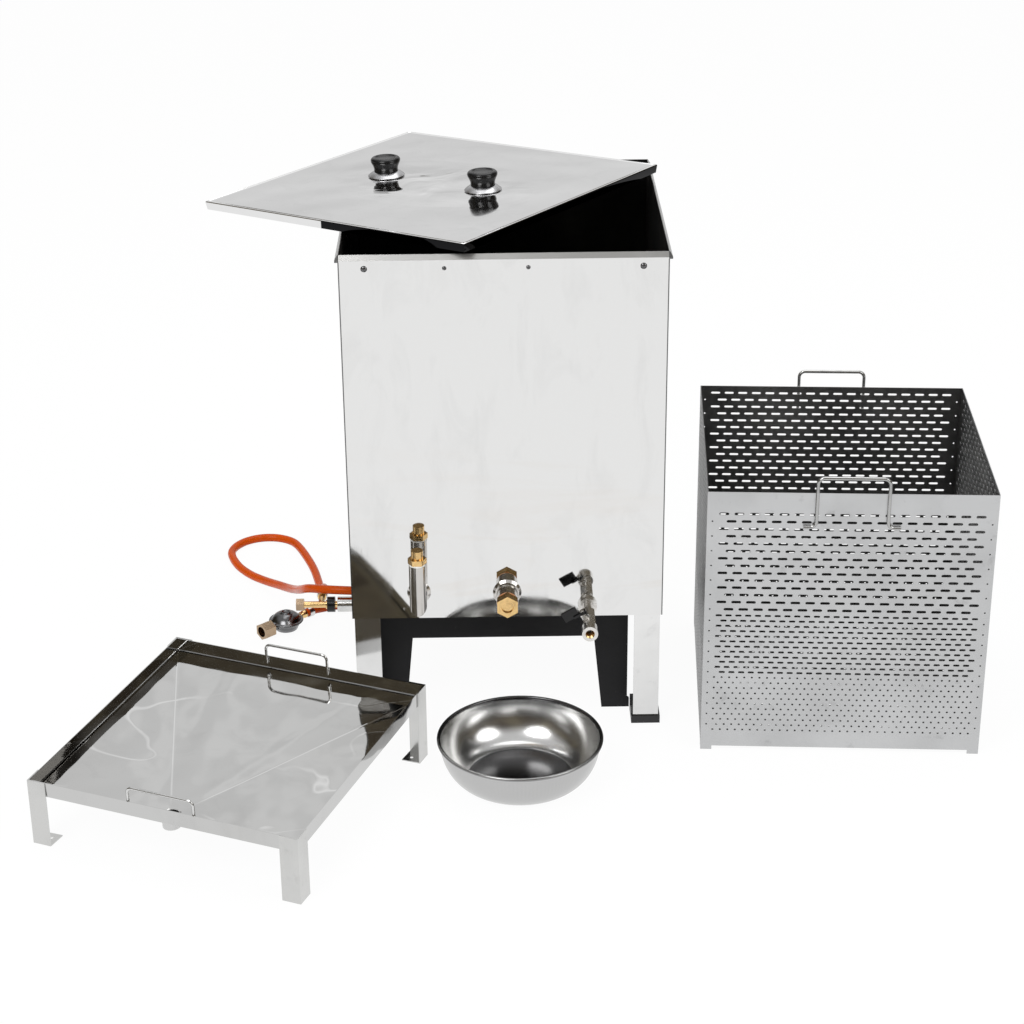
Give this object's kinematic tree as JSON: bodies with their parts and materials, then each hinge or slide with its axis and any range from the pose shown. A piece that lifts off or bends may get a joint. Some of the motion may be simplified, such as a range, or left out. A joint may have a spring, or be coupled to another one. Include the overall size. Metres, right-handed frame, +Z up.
{
  "type": "gas-fired wax melter",
  "caption": "Square stainless wax melting tank on legs with a lid, perforated basket, drip tray, bowl, drain valve and a gas stool burner under it.",
  "frame": {"origin": "on the floor, in the middle of the footprint of the standing pieces, without the hose and regulator", "axes": "+Z up, -Y towards the front of the tank with its filler, outlet and drain valve, +X to the right"},
  "size_m": [1.3412, 1.0995, 0.7697],
  "materials": {
    "polished_steel": "mirror polished stainless sheet",
    "leg_steel": "brushed stainless angle",
    "perforated_steel": "brushed stainless sheet",
    "wire_steel": "bright drawn wire",
    "bowl_steel": "satin outside, bright inside",
    "valve_plating": "bright nickel plating",
    "yellow_brass": "turned brass",
    "black_plastic": "matt black",
    "grey_plastic": "satin grey",
    "white_seal": "smooth white",
    "red_seal": "fibre ring",
    "stool_paint": "satin black paint",
    "burner_iron": "bare casting",
    "zinc_steel": "bright zinc plating",
    "hose_rubber": "smooth orange",
    "regulator_metal": "dark bright plating"
  },
  "bodies": {
    "tank": {"tank_front": "polished_steel", "tank_back": "polished_steel", "tank_left": "polished_steel", "tank_right": "polished_steel", "tank_floor": "polished_steel", "rim_rivets": "leg_steel", "leg_front_left": "leg_steel", "leg_front_right": "leg_steel", "leg_back_left": "leg_steel", "leg_back_right": "leg_steel", "leg_feet": "black_plastic", "filler_elbow": "leg_steel", "filler_seal": "white_seal", "outlet_stub": "leg_steel", "outlet_seal": "red_seal", "drain_ring": "valve_plating", "drain_nipple": "valve_plating", "drain_locknut": "valve_plating", "valve_body": "valve_plating", "valve_end": "valve_plating", "valve_seats": "white_seal", "packing_nut": "valve_plating"},
    "filler_plug": {"filler_plug": "yellow_brass"},
    "outlet_plug": {"outlet_plug": "yellow_brass"},
    "drain_lever": {"valve_ball": "valve_plating", "valve_stem": "valve_plating", "drain_lever": "black_plastic", "lever_screw": "valve_plating"},
    "lid": {"lid_panel": "polished_steel", "knob_bases": "grey_plastic", "lid_knobs": "black_plastic", "knob_screws": "zinc_steel"},
    "basket": {"basket_front": "perforated_steel", "basket_back": "perforated_steel", "basket_left": "perforated_steel", "basket_right": "perforated_steel", "basket_floor": "perforated_steel", "basket_tabs": "perforated_steel", "basket_grip_front": "wire_steel", "basket_grip_back": "wire_steel"},
    "tray": {"tray_walls": "polished_steel", "tray_floor": "polished_steel", "tray_legs": "leg_steel", "tray_spout": "leg_steel", "tray_grip_front": "wire_steel", "tray_grip_back": "wire_steel"},
    "bowl": {"bowl": "bowl_steel"},
    "burner": {"stool_frame": "stool_paint", "pot_supports": "stool_paint", "burner_straps": "stool_paint", "burner_body": "burner_iron", "burner_cap": "burner_iron", "mixing_tube": "zinc_steel", "gas_inlet": "yellow_brass", "inlet_nut": "zinc_steel", "gas_hose": "hose_rubber", "hose_clips": "zinc_steel", "regulator_body": "regulator_metal", "regulator_nut": "regulator_metal"},
    "air_shutter": {"air_shutter": "black_plastic"}
  },
  "joints": [
    {"name": "lid_lift", "type": "slide", "parent": "tank", "child": "lid", "axis": [0, 0, 1], "range_m": [0, 0.2]},
    {"name": "basket_lift", "type": "slide", "parent": "tank", "child": "basket", "axis": [0, 0, 1], "range_m": [0, 0.45]},
    {"name": "tray_lift", "type": "slide", "parent": "tank", "child": "tray", "axis": [0, 0, 1], "range_m": [0, 0.2]},
    {"name": "bowl_lift", "type": "slide", "parent": "tank", "child": "bowl", "axis": [0, 0, 1], "range_m": [0, 0.1]},
    {"name": "burner_slide", "type": "slide", "parent": "tank", "child": "burner", "axis": [-1, 0, 0], "range_m": [0, 0.2]},
    {"name": "filler_plug_out", "type": "slide", "parent": "tank", "child": "filler_plug", "axis": [0, 0, 1], "range_m": [0, 0.03]},
    {"name": "outlet_plug_out", "type": "slide", "parent": "tank", "child": "outlet_plug", "axis": [0, -1, 0], "range_m": [0, 0.03]},
    {"name": "drain_lever_turn", "type": "hinge", "parent": "tank", "child": "drain_lever", "pos_m": [0.08904, -0.14146, 0.196], "axis": [-0.5, 0, 0.866], "range_deg": [0, 90]},
    {"name": "air_shutter_turn", "type": "hinge", "parent": "burner", "child": "air_shutter", "pos_m": [-0.29596, 0.13454, 0.09], "axis": [-1, 0, 0], "range_deg": [0, 60]}
  ]
}
